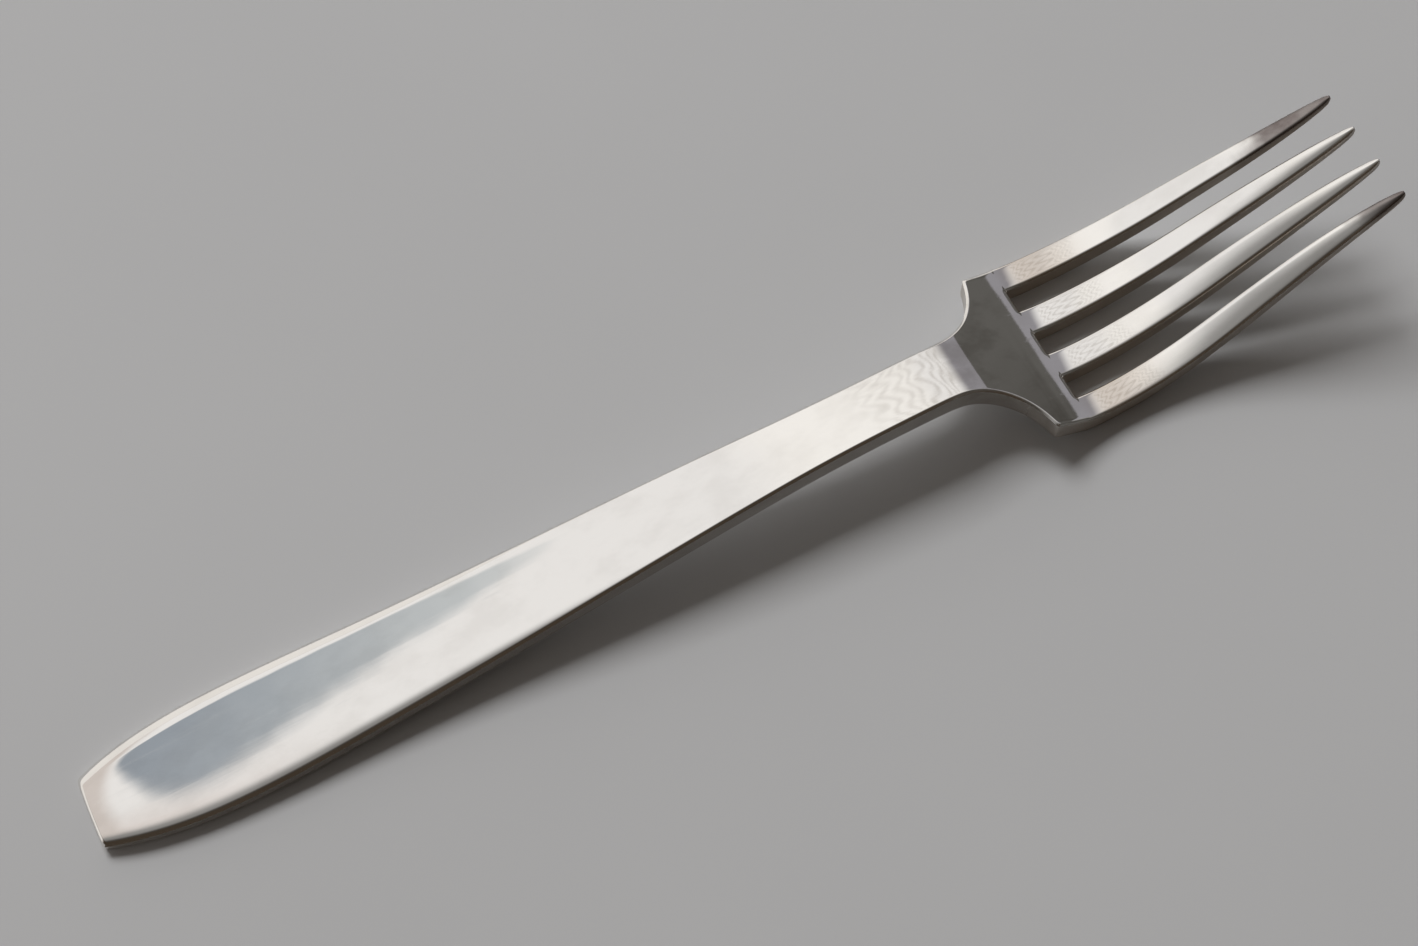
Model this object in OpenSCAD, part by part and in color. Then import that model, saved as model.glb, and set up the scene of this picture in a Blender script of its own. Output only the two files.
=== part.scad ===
// Dinner fork with four tines, a flat handle and a square-cut end.
// X runs along the fork from the handle (-X) to the tips (+X), Y across it and Z up.
// The origin lies on the table, under the middle of the fork's length.
// The fork is one forging. It is divided at flat planes across X into named regions that meet face to face.

/* [Handle] */
// Length of the handle, from the cut end to the neck
handle_len = 104.6; // [80:0.1:130]
// Width across the cut end
end_w = 10.6; // [8:0.1:12]
// Widest width of the handle
pad_w = 17; // [12:0.1:20]
// Distance of the widest place from the cut end
pad_x = 22; // [14:0.5:32]
// Fullness of the sides between the cut end and the widest place
swell_power = 2.4; // [2:0.1:3]
// Radius of the corners of the cut end, seen from above
end_corner_r = 0.5; // [0.4:0.1:2]
// Thickness at the cut end
end_t = 2.9; // [2:0.1:3.4]
// Radius that eases the thickness into the cut end
end_nose_r = 0.8; // [0.2:0.1:0.85]
// Length of the flat under the cut end, where the handle lies on the table
end_flat = 6; // [3:0.5:12]

/* [Neck] */
// Length of the neck, up to where the shoulders start to widen
neck_len = 27; // [18:0.5:36]
// Narrowest width of the neck
neck_w = 8.9; // [6:0.1:10]
// Distance from the narrowest place to the shoulders
waist_back = 10; // [4:0.5:16]
// Thickness of the neck
neck_t = 4.3; // [3:0.1:5]
// Height of the underside at the crest of the arch, where the neck meets the root
crest_lift = 6.6; // [4:0.1:10]
// Distance from the shoulders back to where the top of the arch starts to fall
crest_back = 3.3; // [0:0.1:5]

/* [Root] */
// Width across the shoulder corners
shoulder_w = 27.0; // [24:0.1:30]
// Radius of the concave fillet between the neck and each shoulder
fillet_r = 11; // [10.6:0.1:16]
// Length over which each shoulder corner is eased, seen from above
shoulder_ease = 1.2; // [0.2:0.1:2]
// Length from the shoulder corners to the slots
shoulder_len = 5.6; // [4:0.1:8]
// Thickness at the heel
heel_t = 3.6; // [2.8:0.1:4.4]

/* [Tines] */
// Length of the tines, measured flat along the fork
tine_len = 52.3; // [40:0.1:64]
// Width of a tine at the slots
tine_w = 4.1; // [3:0.05:4.8]
// Spacing of the tines at the slots
tine_pitch = 7.95; // [7:0.05:9]
// Spacing of the tips
tip_pitch = 6.15; // [5:0.05:8]
// Width of the blunt point of a tine
tip_w = 0.6; // [0.3:0.05:1]
// Thickness of a tine
tine_t = 3.5; // [2:0.1:3.6]
// Thickness of the point of a tine
tip_t = 1.3; // [0.6:0.1:1.6]
// Height of the underside at the tips
tip_lift = 17.2; // [10:0.2:24]
// Length over which the heel thins to the thickness of the tines
heel_run = 24; // [8:0.5:36]
// Distance from the slots to the heel, the lowest place, where the tines lie on the table
heel_out = 4.4; // [3:0.1:10]

/* [Edges] */
// Radius of the rounded edges of the handle, up to its widest place
pad_edge_r = 1.2; // [0.5:0.05:1.6]
// Radius of the rounded edges of the neck and root
edge_r = 0.5; // [0.3:0.05:1.6]
// Radius of the rounded edges of the tines
tine_edge_r = 0.3; // [0.2:0.05:1.2]

/* [Hidden] */
silver = [0.86, 0.85, 0.82];

// Depth of the flats that the table takes off the underside of the handle and the tines
rest_cut = 0.12;
// Lengths over which the handle's taper bends into and out of its straight run
taper_ease_in = 12;
taper_ease_out = 20;
// The same for the rise of the arch, and for the start of the rise of the tines
arch_ease_in = 60;
arch_ease_out = 45;
rise_ease = 22;
// How far a cut runs past what it cuts
overrun = 5;

// Shares and counts that give the curves their form
drop_ease_in_share = 0.283;
drop_ease_out_share = 0.35;
tine_count = 4;
lean_ease_in_share = 0.386;
lean_ease_out_share = 0.309;
tine_thin_power = 3;
edge_limit_share = 0.9;
corner_steps = 4;
end_steps = 4;
handle_steps = 26;
neck_steps = 12;
fillet_steps = 12;
shoulder_steps = 9;
tine_steps = 22;

// Places along the fork, from the cut end
fillet_rise = (shoulder_w - neck_w)/2;
fillet_run = sqrt(fillet_r*fillet_r - pow(fillet_r - fillet_rise, 2));
fillet_angle = asin(fillet_run/fillet_r);
neck_x = handle_len;
root_x = neck_x + neck_len;
shoulder_x = root_x + fillet_run;
slot_x = shoulder_x + shoulder_len;
tip_x = slot_x + tine_len;
waist_x = root_x - waist_back;
heel_x = slot_x + heel_out;
crest_x = root_x - crest_back;
drop_run = heel_x - crest_x;
drop_ease_in = drop_ease_in_share*drop_run;
drop_ease_out = drop_ease_out_share*drop_run;
lean_ease_in = lean_ease_in_share*tine_len;
lean_ease_out = lean_ease_out_share*tine_len;
head_w = (tine_count - 1)*tine_pitch + tine_w;

// A smooth climb from 0 to 1 over a run, straight in the middle and eased at both ends
function climb(s, run, ease_in, ease_out) =
    let (steepest = 1/(run - (ease_in + ease_out)/2))
    s <= 0 ? 0
    : s >= run ? 1
    : s < ease_in ? steepest*s*s/(2*ease_in)
    : s <= run - ease_out ? steepest*(s - ease_in/2)
    : 1 - steepest*(run - s)*(run - s)/(2*ease_out);

// The slope of that climb
function climb_slope(s, run, ease_in, ease_out) =
    let (steepest = 1/(run - (ease_in + ease_out)/2))
    s <= 0 || s > run ? 0
    : s < ease_in ? steepest*s/ease_in
    : s <= run - ease_out ? steepest
    : steepest*(run - s)/ease_out;

function arch(x) = climb(x - end_flat, root_x - end_flat, arch_ease_in, arch_ease_out);
function drop(x) = climb(x - crest_x, drop_run, drop_ease_in, drop_ease_out);
function rise(x) = climb(x - heel_x, tip_x - heel_x, rise_ease, 0);

// Height of the underside above the table
function under_z(x) = crest_lift*(arch(x) - drop(x)) + tip_lift*rise(x) - rest_cut;

// Slope of the underside
function under_slope(x) =
    crest_lift*climb_slope(x - end_flat, root_x - end_flat, arch_ease_in, arch_ease_out)
    - crest_lift*climb_slope(x - crest_x, drop_run, drop_ease_in, drop_ease_out)
    + tip_lift*climb_slope(x - heel_x, tip_x - heel_x, rise_ease, 0);

// How far a quarter round of radius r has still to go, at s from its start
function round_inset(s, r) = s >= r ? 0 : r - sqrt(r*r - (r - s)*(r - s));

// Share of the tine's length passed at x
function along_tine(x) = max(0, (x - slot_x)/tine_len);

// Thickness square to the surface
function thickness(x) =
    end_t + (neck_t - end_t)*arch(x) - (neck_t - heel_t)*drop(x)
    - (heel_t - tine_t)*climb(x - slot_x, heel_run, heel_run/2, heel_run/2)
    - (tine_t - tip_t)*pow(along_tine(x), tine_thin_power);

// Thickness measured straight up, which grows where the metal slopes
function upright_t(x) = thickness(x)*sqrt(1 + pow(under_slope(x), 2));

// Half the width of the handle and the neck
function blade_half(x) =
    x < pad_x ? pad_w/2 - (pad_w - end_w)/2*pow(1 - x/pad_x, swell_power)
    : pad_w/2 - (pad_w - neck_w)/2*climb(x - pad_x, waist_x - pad_x, taper_ease_in, taper_ease_out);

// The lesser of two lengths, eased where they cross
function eased_min(a, b, ease) = min(a, b) - pow(max(0, ease - abs(a - b)), 2)/(4*ease);

// Half the width of the root, drawn in by an inset: the shoulder's side, or the fillet about its centre
function root_half(x, inset) =
    let (side = (head_w - (head_w - shoulder_w)*(slot_x - x)/shoulder_len)/2 - inset)
    let (reach = sqrt(max(0, pow(fillet_r + inset, 2) - pow(x - root_x, 2))))
    eased_min(side, neck_w/2 + fillet_r - reach, shoulder_ease);

// Half the width of a tine, which closes to its point as a quarter ellipse
function tine_half(x) = tip_w/2 + (tine_w - tip_w)/2*sqrt(max(0, 1 - pow(along_tine(x), 2)));

// Spacing of the tines, which lean in towards the tips
function pitch(x) =
    tine_pitch - (tine_pitch - tip_pitch)*climb(x - slot_x, tine_len, lean_ease_in, lean_ease_out);

// A cross-section at x: a rectangle with rounded corners, its middle at y and its underside at z.
// half(inset) gives half its width where the round of radius r has drawn the edge in by inset.
function section(x, y, half, z, t, r) =
    let (c = min(r, edge_limit_share*half(0), edge_limit_share*t/2))
    [for (q = [0:3])
        for (j = [0:corner_steps])
            let (a = 90*(q + j/corner_steps))
            let (side = q == 0 || q == 3 ? 1 : -1)
            let (up = q < 2 ? 1 : -1)
            [x, y + side*half(c*(1 - abs(cos(a)))), z + t/2 + up*(t/2 - c) + c*sin(a)]];

// Radius of the handle's edges, which sharpen towards the neck
function handle_edge(x) =
    pad_edge_r - (pad_edge_r - edge_r)*climb(x - pad_x, neck_x - pad_x, taper_ease_in, taper_ease_out);

// A section of the neck or the root
function blade_section(x, half) = section(x, 0, half, under_z(x), upright_t(x), edge_r);

// A section of the handle, whose width and thickness are rounded off at the cut end
function handle_section(x) =
    let (thin = round_inset(x, end_nose_r))
    let (reach = blade_half(x) - round_inset(x, end_corner_r))
    section(x, 0, function(inset) reach - inset, under_z(x) + thin, upright_t(x) - 2*thin, handle_edge(x));

// A section of a tine whose place is counted in spacings from the middle of the fork
function tine_section(x, place) =
    let (reach = tine_half(x))
    section(x, place*pitch(x), function(inset) reach - inset, under_z(x), upright_t(x), tine_edge_r);

// A solid through a row of sections
module loft(sections) {
    count = len(sections[0]);
    last = len(sections) - 1;
    sides = [for (i = [0:last - 1])
        for (j = [0:count - 1])
            let (a = i*count + j)
            let (b = i*count + (j + 1) % count)
            each [[a, b + count, b], [a, a + count, b + count]]];
    start = [for (j = [0:count - 1]) j];
    finish = [for (j = [0:count - 1]) (last + 1)*count - 1 - j];
    polyhedron(points = [for (s = sections) each s], faces = concat(sides, [start, finish]));
}

// The fork's own frame, with the table's surface cut flat under what rests on it
module on_table() {
    translate([-tip_x/2, 0, 0])
        difference() {
            children();
            translate([-overrun, -head_w, -heel_t])
                cube([tip_x + 2*overrun, 2*head_w, heel_t]);
        }
}

module handle() {
    end_run = max(end_corner_r, end_nose_r);
    end_xs = [for (i = [0:end_steps]) end_run*(1 - cos(90*i/end_steps))];
    grip_xs = [for (i = [1:handle_steps]) end_run + (neck_x - end_run)*i/handle_steps];
    color(silver)
        on_table()
            loft([for (x = concat(end_xs, grip_xs)) handle_section(x)]);
}

module neck() {
    xs = [for (i = [0:neck_steps]) neck_x + neck_len*i/neck_steps];
    color(silver)
        translate([-tip_x/2, 0, 0])
            loft([for (x = xs) blade_section(x, function(inset) blade_half(x) - inset)]);
}

module root() {
    fillet_xs = [for (i = [0:fillet_steps]) root_x + fillet_r*sin(fillet_angle*i/fillet_steps)];
    shoulder_xs = [for (i = [1:shoulder_steps]) shoulder_x + shoulder_len*pow(i/shoulder_steps, 2)];
    color(silver)
        translate([-tip_x/2, 0, 0])
            loft([for (x = concat(fillet_xs, shoulder_xs))
                blade_section(x, function(inset) root_half(x, inset))]);
}

// A tine, counted from the -Y side
module tine(number) {
    place = number - (tine_count + 1)/2;
    xs = [for (i = [0:tine_steps]) slot_x + tine_len*sin(90*i/tine_steps)];
    color(silver)
        on_table()
            loft([for (x = xs) tine_section(x, place)]);
}

handle();
neck();
root();
tine(1);  // tine_1
tine(2);  // tine_2
tine(3);  // tine_3
tine(4);  // tine_4
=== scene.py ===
# %% [markdown]
# A silver-plated dinner fork, face up on a pale floor.
# The solid model is loaded first and stays as the frame. What this lesson adds is the skin of the fork: one
# unbroken polished surface, because a mirror finish shows every flat facet of a plain solid.

# %% Load the frame
import math
import bmesh
import bpy
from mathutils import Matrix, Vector


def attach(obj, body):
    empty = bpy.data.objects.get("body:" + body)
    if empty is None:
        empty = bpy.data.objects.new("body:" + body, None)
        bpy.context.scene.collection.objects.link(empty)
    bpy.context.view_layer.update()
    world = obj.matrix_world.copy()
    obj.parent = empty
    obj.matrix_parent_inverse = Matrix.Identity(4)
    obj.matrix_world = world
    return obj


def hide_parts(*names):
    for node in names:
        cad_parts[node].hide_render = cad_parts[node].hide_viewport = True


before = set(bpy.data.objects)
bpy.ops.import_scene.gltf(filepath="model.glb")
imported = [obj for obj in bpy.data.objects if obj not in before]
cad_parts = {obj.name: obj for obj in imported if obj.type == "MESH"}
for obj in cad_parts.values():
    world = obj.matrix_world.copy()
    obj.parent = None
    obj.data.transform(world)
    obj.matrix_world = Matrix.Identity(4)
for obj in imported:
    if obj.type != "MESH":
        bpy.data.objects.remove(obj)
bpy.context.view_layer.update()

print("nodes:", sorted(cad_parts))

# %% [markdown]
# The camera comes before any shape, so that each piece can be judged against the photograph from the first
# render on. The place and the angles were fitted to the fork's own edges. The lens follows from the fit too:
# a focal length of 2000 pixels in a picture 1418 pixels wide, on a sensor of 36 mm.

# %% Camera
PICTURE_WIDTH, FOCAL_PIXELS, SENSOR_WIDTH = 1418, 2000, 36


def add_object(name, data):
    made = bpy.data.objects.new(name, data)
    bpy.context.scene.collection.objects.link(made)
    return made


lens = bpy.data.cameras.new("camera")
lens.sensor_fit = "HORIZONTAL"
lens.sensor_width = SENSOR_WIDTH
lens.lens = SENSOR_WIDTH*FOCAL_PIXELS/PICTURE_WIDTH
lens.clip_start = 0.01
camera = add_object("camera", lens)
camera.location = (-0.05173, -0.10128, 0.26297)
camera.rotation_euler = [math.radians(a) for a in (24.042, 1.415, -27.397)]
bpy.context.scene.camera = camera
print("camera:", [round(c, 5) for c in camera.location], "lens", round(lens.lens, 2))

# %% [markdown]
# A fork is stamped from a flat blank and then bent, so its form is two drawings: the outline from above, and
# the profile from the side. Both are written here as small functions of x, the distance from the cut end of
# the handle, in millimetres. They are the same curves as the solid's, so the skin lies on the solid.

# %% Lengths along the fork
handle_len, neck_len, shoulder_len, tine_len = 104.6, 27, 5.6, 52.3
neck_w, shoulder_w, fillet_r = 8.9, 27.0, 11
fillet_run = math.sqrt(fillet_r**2 - (fillet_r - (shoulder_w - neck_w)/2)**2)
root_x = handle_len + neck_len
slot_x = root_x + fillet_run + shoulder_len
tip_x = slot_x + tine_len
crest_x = root_x - 3.3
heel_x = slot_x + 4.4
print("root, slots and tips at", [round(x, 2) for x in (root_x, slot_x, tip_x)], "mm")

# %% [markdown]
# The curves of a fork could be drawn as splines with many handles. Here all of them are made of one curve,
# `climb`, which is easier to keep in step with the solid: it goes from 0 to 1, straight in the middle and
# eased at both ends, as bent metal does.

# %% One curve for everything
def climb(s, run, ease_in, ease_out):
    steepest = 1/(run - (ease_in + ease_out)/2)
    if s <= 0:
        return 0
    if s >= run:
        return 1
    if s < ease_in:
        return steepest*s*s/(2*ease_in)
    if s <= run - ease_out:
        return steepest*(s - ease_in/2)
    return 1 - steepest*(run - s)**2/(2*ease_out)


print("climb over 10 mm:", [round(climb(s, 10, 4, 4), 2) for s in range(0, 11, 2)])

# %% [markdown]
# The profile from the side: flat under the end of the handle, a long arch up to the crest, a steep face down
# to the heel, and tines that rise from it. The metal is thickest at the neck and thins towards the tips.
# The fork rests on three small flats, which is why the underside is lowered a little and stops at the floor.

# %% Profile from the side
end_flat, arch_rise, tip_rise, resting_flat = 6, 6.6, 17.2, 0.12
end_thick, arch_gain, root_loss, slot_loss, tip_loss = 2.9, 1.4, 0.7, 0.1, 2.2
drop_run = heel_x - crest_x


def arch(x):
    return climb(x - end_flat, root_x - end_flat, 60, 45)


def drop(x):
    return climb(x - crest_x, drop_run, 0.283*drop_run, 0.35*drop_run)


def along_tine(x):
    return min(1, max(0, (x - slot_x)/tine_len))


def under(x):
    lift = tip_rise*climb(x - heel_x, tip_x - heel_x, 22, 0)
    return arch_rise*(arch(x) - drop(x)) + lift - resting_flat


def thick(x):
    flat = (end_thick + arch_gain*arch(x) - root_loss*drop(x)
            - slot_loss*climb(x - slot_x, 24, 12, 12) - tip_loss*along_tine(x)**3)
    slope = (under(x + 0.01) - under(x - 0.01))/0.02
    return flat*math.sqrt(1 + slope*slope)


print("thickness at end, neck, heel, tip:", [round(thick(x), 2) for x in (1, root_x, heel_x, tip_x)])

# %% [markdown]
# The outline from above: a handle that swells from its square end and tapers to a waist, two concave fillets
# out to the shoulders, and tines that close to a blunt point as a quarter of an ellipse while they lean in.

# %% Outline from above
end_w, pad_w, pad_x, pad_power = 10.6, 17, 22, 2.4
waist_x = root_x - 10
tine_w, tine_pitch, tip_pitch, tip_w = 4.1, 7.95, 6.15, 0.6
head_half = 1.5*tine_pitch + tine_w/2


def blade_half(x):
    if x < pad_x:
        return pad_w/2 - (pad_w - end_w)/2*(1 - x/pad_x)**pad_power
    return pad_w/2 - (pad_w - neck_w)/2*climb(x - pad_x, waist_x - pad_x, 12, 20)


def shoulder_half(x):
    return head_half - (head_half - shoulder_w/2)*(slot_x - x)/shoulder_len


def tine_half(x):
    return (tip_w + (tine_w - tip_w)*math.sqrt(1 - along_tine(x)**2))/2


def pitch(x):
    lean_in = climb(x - slot_x, tine_len, 0.386*tine_len, 0.309*tine_len)
    return tine_pitch - (tine_pitch - tip_pitch)*lean_in


print("half widths at end, pad, waist, head:",
      [round(h, 2) for h in (blade_half(0), blade_half(pad_x), blade_half(waist_x), head_half)])

# %% [markdown]
# The skin could be drawn ring by ring, but a blank is simpler: a flat grid of faces whose lines run along the
# fork and whose rows run across it. Rows stand closer where the outline turns.
# Each row has a place for its rim, and one a little inside for the edge of the flat. Later the rim is lowered,
# and the narrow strip between the two becomes the roll that polishing leaves along every edge.
# On the fillets, both places lie on two circles about one centre, so the strip is equally wide all round.

# %% Rows of the handle and neck
edge_r, tine_edge_r = 0.35, 0.25
HANDLE_ROWS = (edge_r, 0.9, 2, 4, 7, 11, 16, 22, 28, 35, 43, 52, 61, 70, 79, 88, 96)
NECK_ROWS = (handle_len, 110, 116, 121.5, 126.5, 129.5)
rows = [((0.1, blade_half(0) - 0.1), (0, blade_half(0) - edge_r))]


def add_row(x, half, edge):
    rows.append(((x, half), (x, half - edge)))


for x in HANDLE_ROWS:
    add_row(x, blade_half(x), edge_r)
neck_row = len(rows)
for x in NECK_ROWS:
    add_row(x, blade_half(x), edge_r)
root_row = len(rows)
print("rows of handle and neck:", root_row, "with the neck from", neck_row)

# %% Rows of the root and tines
FILLET_STEPS, TINE_STEPS = 8, 24
SLOT_ROWS = (0, 0.35, 1.1, 2.3, 3.6, 5, 6.6, 8.5, 10.8)
fillet_y = neck_w/2 + fillet_r
inner_turn = math.acos((fillet_y - shoulder_w/2 + edge_r)/(fillet_r + edge_r))
for i in range(FILLET_STEPS + 1):
    turn = inner_turn*0.92*i/FILLET_STEPS
    rows.append(tuple((root_x + r*math.sin(turn), fillet_y - r*math.cos(turn))
                      for r in (fillet_r, fillet_r + edge_r)))
corner_x = root_x + (fillet_r + edge_r)*math.sin(inner_turn)
rows.append(((root_x + fillet_run, shoulder_w/2), (corner_x, shoulder_w/2 - edge_r)))
for x in (corner_x + 0.4, corner_x + 1, corner_x + 2.4, slot_x - 0.8, slot_x - tine_edge_r):
    add_row(x, shoulder_half(x), edge_r)
slot_row = len(rows)
for along in SLOT_ROWS:
    add_row(slot_x + along, head_half, tine_edge_r)
for i in range(4, TINE_STEPS + 1):
    add_row(slot_x + tine_len*math.sin(math.pi/2*i/TINE_STEPS), head_half, tine_edge_r)
print("rows:", len(rows), "with the root from", root_row, "and the tines from", slot_row)

# %% [markdown]
# Along the fork there are seven lines for each tine: its two rims, the two edges of its flat, two more close
# inside those, which keep the roll narrow when the surface is subdivided, and its middle.
# One more line runs down the middle of each slot, so that the slot ends square with rounded corners.

# %% The blank
LINES_A_TINE, TINES = 8, 4
line_count = LINES_A_TINE*TINES - 1
bm = bmesh.new()
bmesh.ops.create_grid(bm, x_segments=len(rows) - 1, y_segments=line_count - 1, size=0.5)
bmesh.ops.translate(bm, verts=bm.verts, vec=(0.5, 0.5, 0))
bmesh.ops.scale(bm, verts=bm.verts, vec=(len(rows) - 1, line_count - 1, 1))


def in_slot(face):
    middle = face.calc_center_median()
    return middle.x > slot_row and middle.y % LINES_A_TINE > LINES_A_TINE - 2


bmesh.ops.delete(bm, geom=[f for f in bm.faces if in_slot(f)], context="FACES")
print("blank:", len(bm.verts), "points,", len(bm.faces), "faces, slots cut out")

# %% [markdown]
# The blank gets its back by extruding every face: the open edges turn into the side walls. Two steps do it, so
# that a line runs along each wall near the back and the wall stays straight when it is subdivided.
# The faces are given together with their edges. Only then does the second step take away the layer that it
# starts from, which would otherwise stay inside the metal as a hidden sheet.
# So far x counts rows, y counts lines and z is 0 on the face and -1 on the back.

# %% Back and walls
WALL_STEPS = (0.86, 0.14)
layer = bm.faces[:] + bm.edges[:]
for step in WALL_STEPS:
    layer = bmesh.ops.extrude_face_region(bm, geom=layer)["geom"]
    points = [part for part in layer if isinstance(part, bmesh.types.BMVert)]
    bmesh.ops.translate(bm, verts=points, vec=(0, 0, -step))
bmesh.ops.recalc_face_normals(bm, faces=bm.faces)
print("shell:", len(bm.verts), "points,", len(bm.faces), "faces, closed:", all(e.is_manifold for e in bm.edges))

# %% [markdown]
# The roll along an edge ends in a sharp corner at the wall. A full round would be the easy way, but polished
# metal shows what it faces: the lower half of the round would mirror the lit floor as a bright line. A crease
# keeps the corner, and marking its edges sharp keeps the shading of the roll and of the wall apart.
# The line near the back has a crease too, but smooth shading: the wall is straight down to it, and only below it
# does the metal round off to the back.

# %% Sharp corner at the wall
def at_depth(thing, depth):
    return all(abs(v.co.z + depth) < 0.01 for v in thing.verts)


crease = bm.edges.layers.float.new("crease_edge")
corner_edges = [e for e in bm.edges if at_depth(e, 0) and not all(at_depth(f, 0) for f in e.link_faces)]
wall_lines = [e for e in bm.edges if at_depth(e, WALL_STEPS[0])]
for edge in corner_edges + wall_lines:
    edge[crease] = 1
for edge in corner_edges:
    edge.smooth = False
print("sharp corner:", len(corner_edges), "edges, wall lines:", len(wall_lines), "edges")

# %% [markdown]
# While x still counts rows and y counts lines, it is easy to say which region of the fork a face belongs to.
# A number on the faces carries that through the subdivision. The end walls of the slots belong to the root.

# %% Regions
REGIONS = ["handle", "neck", "root", "tine_1", "tine_2", "tine_3", "tine_4"]
FIRST_TINE = REGIONS.index("tine_1")
region = bm.faces.layers.int.new("region")
for face in bm.faces:
    middle = face.calc_center_median()
    if middle.x < slot_row + 0.01:
        face[region] = (middle.x > neck_row) + (middle.x > root_row)
    else:
        face[region] = FIRST_TINE + int(middle.y // LINES_A_TINE)
print("regions:", {name: sum(f[region] == i for f in bm.faces) for i, name in enumerate(REGIONS)})

# %% [markdown]
# A fork's face looks flat but isn't, and a mirror finish tells: the long soft borders of the reflections come
# from a gentle crown. It could be left to a bump in the finish, but then the form would be missing from the
# mesh. So a function says how far the face sinks below the profile, for x and for the share of the way from the
# middle (0) to the far edge (1) or the near edge (-1). The far edge of the wide end rolls over early and
# deeply, the near edge later and less, and the end itself rolls too.

# %% Crown and rolled edges of the handle
CROWN, EDGE_ROLL, END_ROLL, END_ROLL_LEN = 0.48, 0.5, 0.4, 7
NEAR_CROWN, NEAR_ROLL, NEAR_POWER, FAR_POWER = 0.65, 0.6, 20, 8


def handle_sink(x, share):
    crown = (CROWN - 0.26*climb(x - pad_x, handle_len - pad_x, 30, 30)
             - 0.22*climb(x - handle_len, 40, 20, 20))
    rolled_edge = EDGE_ROLL*(1 - climb(x - 35, 60, 20, 20))
    rolled_end = END_ROLL*max(0, 1 - x/END_ROLL_LEN)**2
    if share < 0:
        return NEAR_CROWN*crown*share**2 + NEAR_ROLL*rolled_edge*share**NEAR_POWER + rolled_end
    return crown*share**2 + rolled_edge*share**FAR_POWER + rolled_end


print("sink at the far edge of end, pad, neck:", [round(handle_sink(x, 1), 2) for x in (0, pad_x, root_x)])

# %% [markdown]
# Each line of the grid gets its place across the fork. Before the slots the lines share the width out, in the
# proportions that they have where the slots begin.

# %% Places across the handle, neck and root
def across_tine(part, half, reach):
    distance = (half, half - reach, half - 2.6*reach, 0)[min(part, 6 - part)]
    return math.copysign(distance, part - 3)


def line_at_slot(line):
    tine, part = divmod(line, LINES_A_TINE)
    if part == LINES_A_TINE - 1:
        return (tine + 1 - TINES/2)*tine_pitch
    return (tine - (TINES - 1)/2)*tine_pitch + across_tine(part, tine_w/2, tine_edge_r)


def on_blade(row, line):
    (rim_x, rim_y), (x, y) = rows[row]
    share = line_at_slot(line)/line_at_slot(line_count - 2)
    sink = handle_sink(x, min(1, max(-1, share)))
    outer = line in (0, line_count - 1)
    rim = outer or row in (0, slot_row)
    reach = tine_edge_r if row == slot_row else edge_r
    x, y = (rim_x, math.copysign(rim_y, share)) if outer else (x, y*share)
    return x, y, sink, reach, rim


print("lines where the slots begin, from", round(line_at_slot(0), 2), "to", round(line_at_slot(line_count - 1), 2))

# %% [markdown]
# Tines are crowned too, and hand finishing leaves them a little twisted: three of the four turn their faces
# towards -Y along their length, each from a place of its own. That is why their reflections darken one after
# the other on the way to the tips.

# %% Places across the tines
TINE_CROWN = 0.1
TINE_TWIST = (0.26, 0.23, 0.25, 0)
TWIST_FROM = (1, 4, 20, 0)
TWIST_RUN = 30


def on_tine(row, line):
    x = rows[row][1][0]
    tine, part = divmod(line, LINES_A_TINE)
    half = tine_half(x)
    reach = min(tine_edge_r, 0.6*half)
    across = across_tine(part, half, reach)
    twist = TINE_TWIST[tine]*climb(x - slot_x - TWIST_FROM[tine], TWIST_RUN, 8, 8)
    sink = TINE_CROWN*(1 + along_tine(x)**2)*(across/half)**2 - twist*across
    rim = part in (0, 6) or row == len(rows) - 1
    return x, (tine - (TINES - 1)/2)*pitch(x) + across, sink, reach, rim


print("twist at the tips:", [round(math.degrees(math.atan(t)), 1) for t in TINE_TWIST], "degrees")

# %% [markdown]
# Now each point goes to its place: up to the profile, down by its sink, and a little further on the rims. The
# bottom rims come up a little, and no point goes below the floor.

# %% Bend the blank
MM = 0.001


def place(row, line, depth):
    before_slots = row < slot_row or line % LINES_A_TINE == LINES_A_TINE - 1
    x, y, sink, reach, rim = (on_blade if before_slots else on_tine)(row, line)
    low, high = under(x), under(x) + thick(x)
    drop_by = min(reach, 0.44*(high - low)) if rim else 0
    face_z, back_z = high - drop_by - sink, max(0, low + 0.4*drop_by)
    return Vector((x - tip_x/2, y, face_z + depth*(face_z - back_z)))*MM


for v in bm.verts:
    v.co = place(round(v.co.x), round(v.co.y), v.co.z)
blank = bpy.data.meshes.new("blank")
bm.to_mesh(blank)
bm.free()
blank.shade_smooth()
print("bent blank:", len(blank.vertices), "points, highest",
      round(max(v.co.z for v in blank.vertices)/MM, 2), "mm")

# %% [markdown]
# Subdivision gives the polish: two levels turn the strips into rolls and the facets into one smooth surface.
# The modifier is evaluated at once, because the next step cuts the smooth surface into pieces.
# Cutting a mirror makes a seam, because the shading would bend at the cut. So every corner of every face first
# keeps the normal that it has on the whole surface.

# %% Smooth surface
body = add_object("body_in_work", blank)
polish = body.modifiers.new("polish", "SUBSURF")
polish.levels = polish.render_levels = 2
whole = bpy.data.meshes.new_from_object(body.evaluated_get(bpy.context.evaluated_depsgraph_get()))
bpy.data.objects.remove(body)
kept = whole.attributes.new("kept_normal", "FLOAT_VECTOR", "CORNER")
kept.data.foreach_set("vector", [c for normal in whole.corner_normals for c in normal.vector])
print("smooth surface:", len(whole.polygons), "faces")

# %% [markdown]
# The real fork is one piece of metal, with no joints. Its regions become pieces of their own, as in the solid.
# Each piece is closed with a flat cap where it was cut, and shaded with the normals that were kept, so that
# no seam shows.

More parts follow.
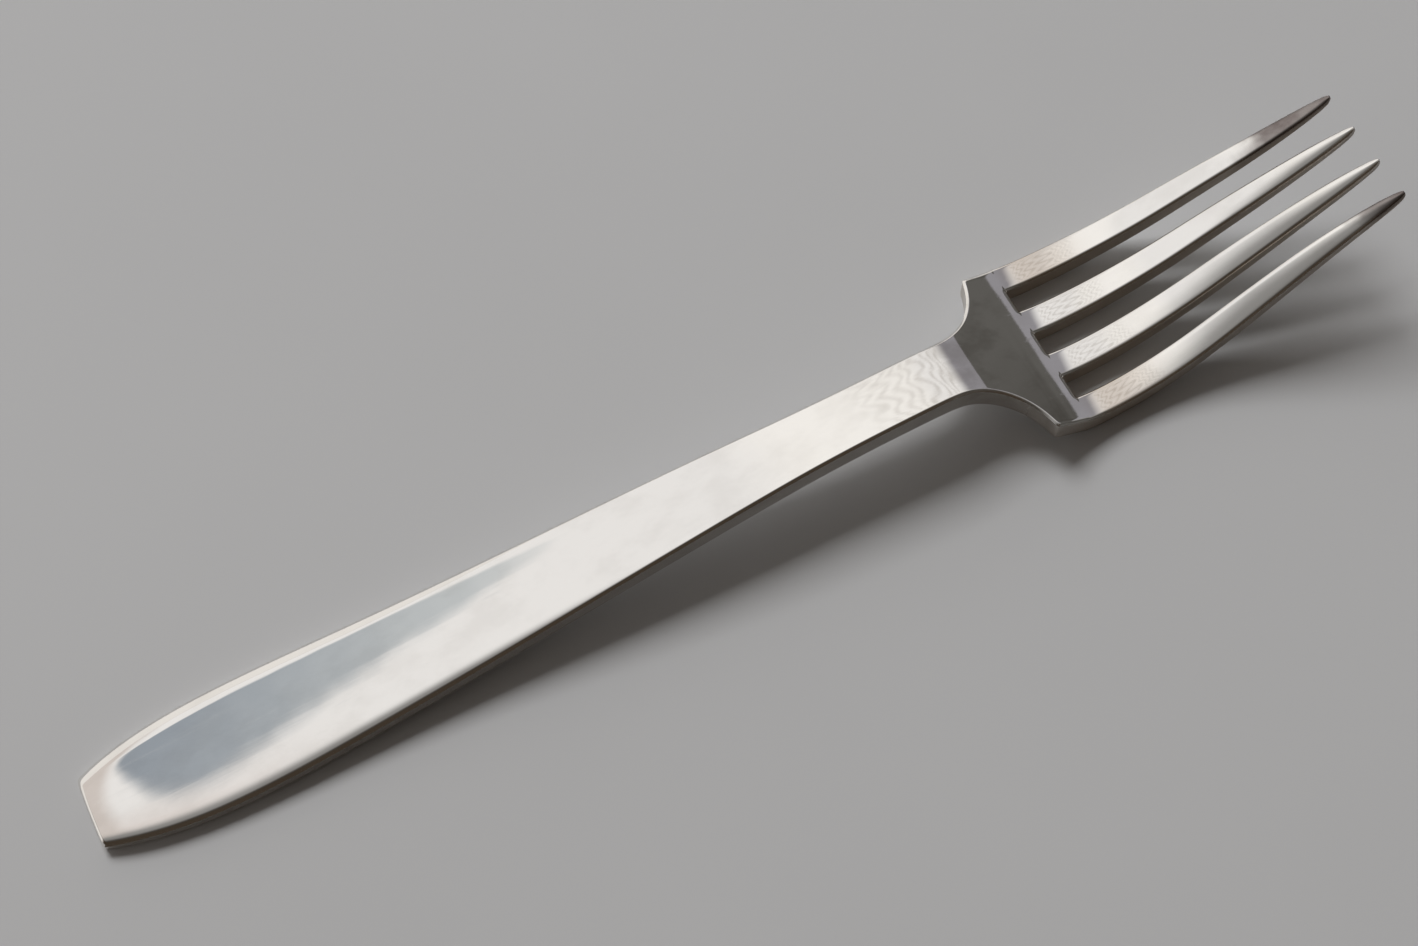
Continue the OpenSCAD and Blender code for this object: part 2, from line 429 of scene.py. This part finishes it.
# %% Cut the surface into pieces
def cut_piece(index):
    work = bmesh.new()
    work.from_mesh(whole)
    region = work.faces.layers.int["region"]
    kept_normal = work.loops.layers.float_vector["kept_normal"]
    bmesh.ops.delete(work, geom=[f for f in work.faces if f[region] != index], context="FACES")
    caps = bmesh.ops.holes_fill(work, edges=[e for e in work.edges if e.is_boundary])["faces"]
    work.faces.index_update()
    for f in work.faces:
        f.smooth = True
    normals = [f.normal[:] if f in caps else loop[kept_normal][:]
               for f in work.faces for loop in f.loops]
    mesh = bpy.data.meshes.new("fork_" + REGIONS[index])
    work.to_mesh(mesh)
    work.free()
    mesh.normals_split_custom_set(normals)
    mesh.attributes.remove(mesh.attributes["kept_normal"])
    piece = add_object(mesh.name, mesh)
    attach(piece, "root")
    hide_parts(REGIONS[index])
    print(piece.name, len(mesh.polygons), "faces,", len(caps), "caps")
    return piece


pieces = [cut_piece(i) for i in range(len(REGIONS))]
bpy.data.meshes.remove(whole)
bpy.data.meshes.remove(blank)

# %% [markdown]
# The finish. Shader maths reads best as plain sums, so one small class holds a socket and turns Python's
# operators into Math nodes. Any other node comes from its `node` method.

# %% A class for shader maths
class Wire:
    def __init__(self, tree, socket=None):
        self.tree, self.socket = tree, socket

    def node(self, kind, settings=None, values=None, out=0):
        made = self.tree.nodes.new(kind)
        for name, value in (settings or {}).items():
            setattr(made, name, value)
        for name, value in (values or {}).items():
            if isinstance(value, Wire):
                self.tree.links.new(value.socket, made.inputs[name])
            else:
                made.inputs[name].default_value = value
        return Wire(self.tree, made.outputs[out] if made.outputs else None)

    def maths(self, operation, a, b=0):
        return self.node("ShaderNodeMath", {"operation": operation}, {0: a, 1: b})

    def __add__(self, other):
        return self.maths("ADD", self, other)

    def __sub__(self, other):
        return self.maths("SUBTRACT", self, other)

    def __rsub__(self, other):
        return self.maths("SUBTRACT", other, self)

    def __mul__(self, other):
        return self.maths("MULTIPLY", self, other)

    __radd__, __rmul__ = __add__, __mul__


print("operators:", [name for name in vars(Wire) if name.startswith("__r")])

# %% [markdown]
# A few helpers name what the finishes are made of: soft noise, which can be stretched, a ramp from 0 to 1
# between two values, a mix of two colours, and one axis of a vector. They take the wire that they work on, so
# the same helpers serve every material and the surroundings.

# %% Helpers for patterns
def noise(where, scale, stretch=(1, 1, 1), detail=3, rough=0.55):
    stretched = where.node("ShaderNodeMapping", values={"Vector": where, "Scale": stretch})
    return where.node("ShaderNodeTexNoise", values={
        "Vector": stretched, "Scale": scale, "Detail": detail, "Roughness": rough})


def ramp(value, low, high):
    return value.node("ShaderNodeMapRange", {"interpolation_type": "SMOOTHSTEP"},
                      {"Value": value, "From Min": low, "From Max": high})


def mix(factor, first, second):
    return factor.node("ShaderNodeMix", {"data_type": "RGBA"}, {0: factor, 6: first, 7: second}, out=2)


def axis(vector, name):
    return vector.node("ShaderNodeSeparateXYZ", values={0: vector}, out=name)


def new_material(name):
    made = bpy.data.materials.new(name)
    made.use_nodes = True
    made.node_tree.nodes.clear()
    return made, Wire(made.node_tree).node("ShaderNodeTexCoord", out="Object")


def dress(material, shader, objects):
    shader.node("ShaderNodeOutputMaterial", values={"Surface": shader})
    for obj in objects:
        obj.data.materials.append(material)
    print(material.name, len(material.node_tree.nodes), "nodes on", len(objects), "objects")


print("helpers ready:", [helper.__name__ for helper in (noise, ramp, mix, axis, new_material, dress)])

# %% [markdown]
# Silver plate that has been used is nearly a mirror, and it shows its use in the small things: cloudy patches
# where it was wiped, faint ripples from polishing, and a veil of fine scratches. Most scratches run along the
# fork, the way it is rubbed dry, so their noise is stretched along x.

# %% Wear of the silver
silver, where = new_material("silver_plate")
clouds = noise(where, 60)
patches = ramp(noise(where, 220, (0.6, 1, 1), detail=4), 0.4, 0.7)
ripples = noise(where, 130, detail=1)
scratches = noise(where, 2600, (0.035, 1, 1), detail=4, rough=0.7)
hairs = ramp(noise(where, 1500, (0.02, 1, 1), detail=2), 0.62, 0.72)
print("wear:", len(silver.node_tree.nodes), "nodes")

# %% [markdown]
# Tarnish and stains lie where hands and cloths don't reach: brown tarnish gathers at the tips, warm stains at
# the start of the two outer tines, and the face of the root is mottled. The walls get painted shade: they are
# darker and duller than the face, the more so where they turn downwards, and most of all in the slots, where
# grime adds to it. Each is a mask made from the place along the fork, the distance from its middle line, or the
# way that the surface faces.

# %% Where tarnish, stains, grime and painted shade lie
along, across = axis(where, "X"), axis(where, "Y")
sideways = across.maths("ABSOLUTE", across)
outer_tines = ramp(sideways, 0.005, 0.007)
reach_back = 0.012*noise(where, 140) - sideways + 0.35*across + 0.019*outer_tines
tarnish = ramp(along + reach_back, 0.1035, 0.1085)
stain = ramp(sideways, 0.0085, 0.0095)*ramp(along, 0.047, 0.052)*(1 - ramp(along, 0.053, 0.064))
root_face = ramp(along, 0.029, 0.033)*(1 - ramp(along, 0.042, 0.046))
head = ramp(along, 0.036, 0.049)
upward = axis(where.node("ShaderNodeNewGeometry", out="Normal"), "Z")
# Painted shade: walls are darkened by the way they face, more where they turn downwards, with grime in the slots.
wall = 1 - ramp(upward.maths("ABSOLUTE", upward), 0.35, 0.75)
lower = 1 - ramp(upward, -0.15, 0.1)
grime_and_shade = wall*(0.2 + 0.55*head + 0.25*lower)
print("masks:", len(silver.node_tree.nodes), "nodes so far")

# %% [markdown]
# The masks come together in the colour and the roughness. Grime and painted shade are less metallic than
# silver. Ripples and scratches are too fine for the mesh, so they go into a bump of three hundredths of a
# millimetre.

# %% Silver
CLEAN_SILVER, WARM_STAIN = (0.93, 0.915, 0.885, 1), (0.74, 0.67, 0.6, 1)
DULL_PATCH, BROWN_TARNISH, SLOT_GRIME_AND_SHADE = (0.5, 0.47, 0.43, 1), (0.15, 0.12, 0.115, 1), (0.30, 0.25, 0.2, 1)
BUMP_HEIGHT = 0.00003
colour = mix(stain*(0.65 + 0.5*clouds), CLEAN_SILVER, WARM_STAIN)
colour = mix(patches*(0.14 + 0.4*root_face), colour, DULL_PATCH)
colour = mix(tarnish*(0.8 + 0.2*patches), colour, BROWN_TARNISH)
# Painted shade on the walls, with grime in the slots: a dark brown mixed in by the wall mask.
colour = mix(grime_and_shade, colour, SLOT_GRIME_AND_SHADE)
roughness = 0.03 + 0.03*clouds + 0.06*hairs + 0.12*tarnish + wall*(0.12 + 0.43*head)
bump = where.node("ShaderNodeBump", values={
    "Strength": 1.0, "Distance": BUMP_HEIGHT, "Height": ripples + 0.05*scratches})
dress(silver, where.node("ShaderNodeBsdfPrincipled", values={
    "Base Color": colour, "Metallic": 1 - 0.6*grime_and_shade, "Roughness": roughness, "Normal": bump}), pieces)

# %% [markdown]
# The floor is plain and pale, a slightly mottled matt grey. It is staging and not a piece of the fork.

# %% Floor
FLOOR_HALF = 1.5
FLOOR_GREY, FLOOR_PALE = (0.57, 0.575, 0.585, 1), (0.62, 0.625, 0.635, 1)


def flat_sheet(name, low, high, height, face_down=False):
    mesh = bpy.data.meshes.new(name)
    sheet = bmesh.new()
    bmesh.ops.create_grid(sheet, x_segments=1, y_segments=1, size=0.5)
    bmesh.ops.scale(sheet, verts=sheet.verts, vec=(high[0] - low[0], high[1] - low[1], 1))
    bmesh.ops.translate(sheet, verts=sheet.verts,
                        vec=((low[0] + high[0])/2, (low[1] + high[1])/2, height))
    if face_down:
        bmesh.ops.reverse_faces(sheet, faces=sheet.faces)
    sheet.to_mesh(mesh)
    sheet.free()
    made = add_object(name, mesh)
    return made


floor = flat_sheet("floor", (-FLOOR_HALF, -FLOOR_HALF), (FLOOR_HALF, FLOOR_HALF), 0)
floor_paint, where = new_material("floor_paint")
grey = mix(noise(where, 9), FLOOR_GREY, FLOOR_PALE)
dress(floor_paint, where.node("ShaderNodeBsdfPrincipled", values={
    "Base Color": grey, "Roughness": 0.8}), [floor])

# %% [markdown]
# The light is what a polished fork shows most. Lamps of many shapes could be set up for it, but one wide cloth
# sheet that glows above the fork is simpler to fit: what is painted at a place of the sheet shows at one place of
# the metal. Its reflection fills the face of the handle and the tines.
# The sheet is staging too. Only the metal sees it: it neither lights the floor nor stands in the picture.

# %% Glowing sheet overhead
SHEET_LOW, SHEET_HIGH, SHEET_HEIGHT = (-0.4, -0.3), (0.61, 0.45), 0.3
sheet = flat_sheet("light_sheet", SHEET_LOW, SHEET_HIGH, SHEET_HEIGHT, face_down=True)
sheet.visible_camera = sheet.visible_diffuse = sheet.visible_shadow = False
cloth, where = new_material("glowing_cloth")
sheet_x, sheet_y = axis(where, "X"), axis(where, "Y")
print("light sheet at", SHEET_HEIGHT, "m")

# %% [markdown]
# The wide end of the handle mirrors a cool oval with a tail that fades along the far edge. On the sheet that is a
# wedge between slanted borders, each a soft ramp, and it is bluer towards the end of the handle.

# %% Cool spot on the cloth
SPOT_X, SPOT_Y = -0.137, 0.074
COOL_BLUE, COOL_PALE = (0.30, 0.335, 0.38, 1), (0.56, 0.585, 0.6, 1)
spot_x, spot_y = sheet_x - SPOT_X, sheet_y - SPOT_Y
near_border = ramp(0.65*spot_y - spot_x, -0.013, 0.01)
end_border = ramp(spot_x + 0.3*spot_y, -0.008, 0.01)
end_corner = ramp(spot_x + 0.03 - 0.5*(sheet_y - 0.25), -0.01, 0.02)
far_border = ramp(0.39 - 3.6*(sheet_x + 0.116) - sheet_y, -0.03, 0.03)
tail = 1 - ramp(sheet_x, -0.091, -0.057)
spot = near_border*end_border*end_corner*far_border*tail
cool = mix(ramp(sheet_x, -0.15, -0.075), COOL_BLUE, COOL_PALE)
print("cool spot at", (SPOT_X, SPOT_Y))

# %% [markdown]
# The rest of the cloth is white, a little brighter over the neck. It is warmer beside the spot and above the cut
# end, and it fades to lilac towards +X, which the bend above the root mirrors. Towards the near side it fades to
# dark in two steps, which shades the twisted tines and the near edges.

# %% Tints of the cloth
WHITE, BRIGHT_WHITE = (0.84, 0.825, 0.82, 1), (0.93, 0.908, 0.885, 1)
WARM_WHITE, END_WARM, LILAC = (0.74, 0.69, 0.67, 1), (0.64, 0.585, 0.555, 1), (0.275, 0.267, 0.29, 1)
NEAR_GREY, NEAR_DARK = (0.26, 0.255, 0.25, 1), (0.05, 0.044, 0.038, 1)
over_neck = ramp(sheet_x, 0, 0.04)*(1 - ramp(sheet_x, 0.1, 0.14))
beside_spot = (1 - ramp(sheet_x, -0.15, -0.1))*(1 - ramp(sheet_y, 0.05, 0.1))
glow = mix(spot, mix(over_neck, WHITE, BRIGHT_WHITE), cool)
glow = mix(beside_spot, glow, WARM_WHITE)
glow = mix(1 - ramp(sheet_x, -0.21, -0.172), glow, END_WARM)
glow = mix(ramp(sheet_x, 0.24, 0.34), glow, LILAC)
glow = mix(1 - ramp(sheet_y, -0.07, 0.06), glow, NEAR_GREY)
glow = mix(1 - ramp(sheet_y, -0.2, -0.06), glow, NEAR_DARK)
print("tints:", len(cloth.node_tree.nodes), "nodes so far")

# %% [markdown]
# Fine wavy folds cross the cloth, and the neck mirrors them as wavy lines that stand closer towards the crest.
# They are a sine wave along x whose start is shifted by a second one along y. Where the bend of the neck squeezes
# the reflection, the folds are wider apart, so that the mirrored lines don't run together.

# %% Folds of the cloth
WIDER_FROM, CLOSE_FOLDS, WIDE_FOLDS = 0.115, 700, 170
WAVE_SIZE, WAVES = 2.5, 220
FOLD_DEPTH, FOLD_SHADE = 0.42, (0.35, 0.31, 0.27, 1)
close_by = sheet_x.maths("MINIMUM", sheet_x, WIDER_FROM)
waves = WAVE_SIZE*sheet_y.maths("SINE", WAVES*sheet_y)
folds = CLOSE_FOLDS*close_by + WIDE_FOLDS*(sheet_x - close_by) + waves
folds = folds.maths("SINE", folds)*ramp(sheet_x, 0.07, 0.09)*(1 - ramp(sheet_x, 0.24, 0.27))
glow = mix(FOLD_DEPTH*folds, glow, FOLD_SHADE)
dress(cloth, where.node("ShaderNodeBsdfPrincipled", values={
    "Base Color": (0, 0, 0, 1), "Emission Color": glow, "Emission Strength": 1.0, "Roughness": 1.0}), [sheet])

# %% [markdown]
# Around the sheet the surroundings are dim, a little brown on the near side and uneven towards +X, where the
# root looks. Behind the fork and beyond its handle they are bright, like a pale lit screen. That gives the far
# edges their bright line and leaves the near walls dark.
# Seen directly, in views from low angles, the surroundings are a plain pale grey.

# %% Surroundings
LIT_SIDE = (-0.4, 0.91, 0.1)
LIT_SCREEN, PLAIN_GREY = (0.82, 0.79, 0.76, 1), (0.4, 0.4, 0.4, 1)
DIM_BROWN, DIM_DARK, DIM_PALE = (0.05, 0.038, 0.028, 1), (0.062, 0.058, 0.053, 1), (0.11, 0.106, 0.1, 1)
surround = bpy.data.worlds.new("surround")
surround.use_nodes = True
surround.node_tree.nodes.clear()
toward = Wire(surround.node_tree).node("ShaderNodeTexCoord", out="Generated")
lit = toward.node("ShaderNodeVectorMath", {"operation": "DOT_PRODUCT"}, {0: toward, 1: LIT_SIDE}, out="Value")
lit = ramp(lit, 0.1, 0.5)*(1 - ramp(axis(toward, "Z"), 0.5, 0.75))
uneven = ramp(noise(toward, 7, detail=2, rough=0.5), 0.35, 0.65)
dim = mix(ramp(axis(toward, "X"), 0.2, 0.7), DIM_BROWN, mix(uneven, DIM_DARK, DIM_PALE))
around = mix(lit, dim, LIT_SCREEN)
around = mix(toward.node("ShaderNodeLightPath", out="Is Camera Ray"), around, PLAIN_GREY)
shine = toward.node("ShaderNodeBackground", values={"Color": around})
toward.node("ShaderNodeOutputWorld", values={"Surface": shine})
bpy.context.scene.world = surround
bpy.context.scene.view_settings.view_transform = "Standard"
print("surroundings:", len(surround.node_tree.nodes), "nodes")

# %% [markdown]
# One soft lamp throws the shadow towards the near side. It is a wide square, so that the shadow is crisp where the
# handle touches the floor and soft under the raised tines. It is kept out of the reflections, where it would only
# make a spot.

# %% Lamp
LAMP_SIZE, LAMP_POWER = 1.4, 84
light = bpy.data.lights.new("soft_lamp", "AREA")
light.size = LAMP_SIZE
light.energy = LAMP_POWER
lamp = add_object("soft_lamp", light)
lamp.location = (-0.1, 2.55, 2.55)
lamp.rotation_euler = (-lamp.location).to_track_quat("-Z", "Y").to_euler()
lamp.visible_glossy = lamp.visible_camera = False
elevation = math.degrees(math.asin(lamp.location.z/lamp.location.length))
print("lamp", LAMP_POWER, "W, elevation", round(elevation))

# %% [markdown]
# The skin has to stay within the solid model.
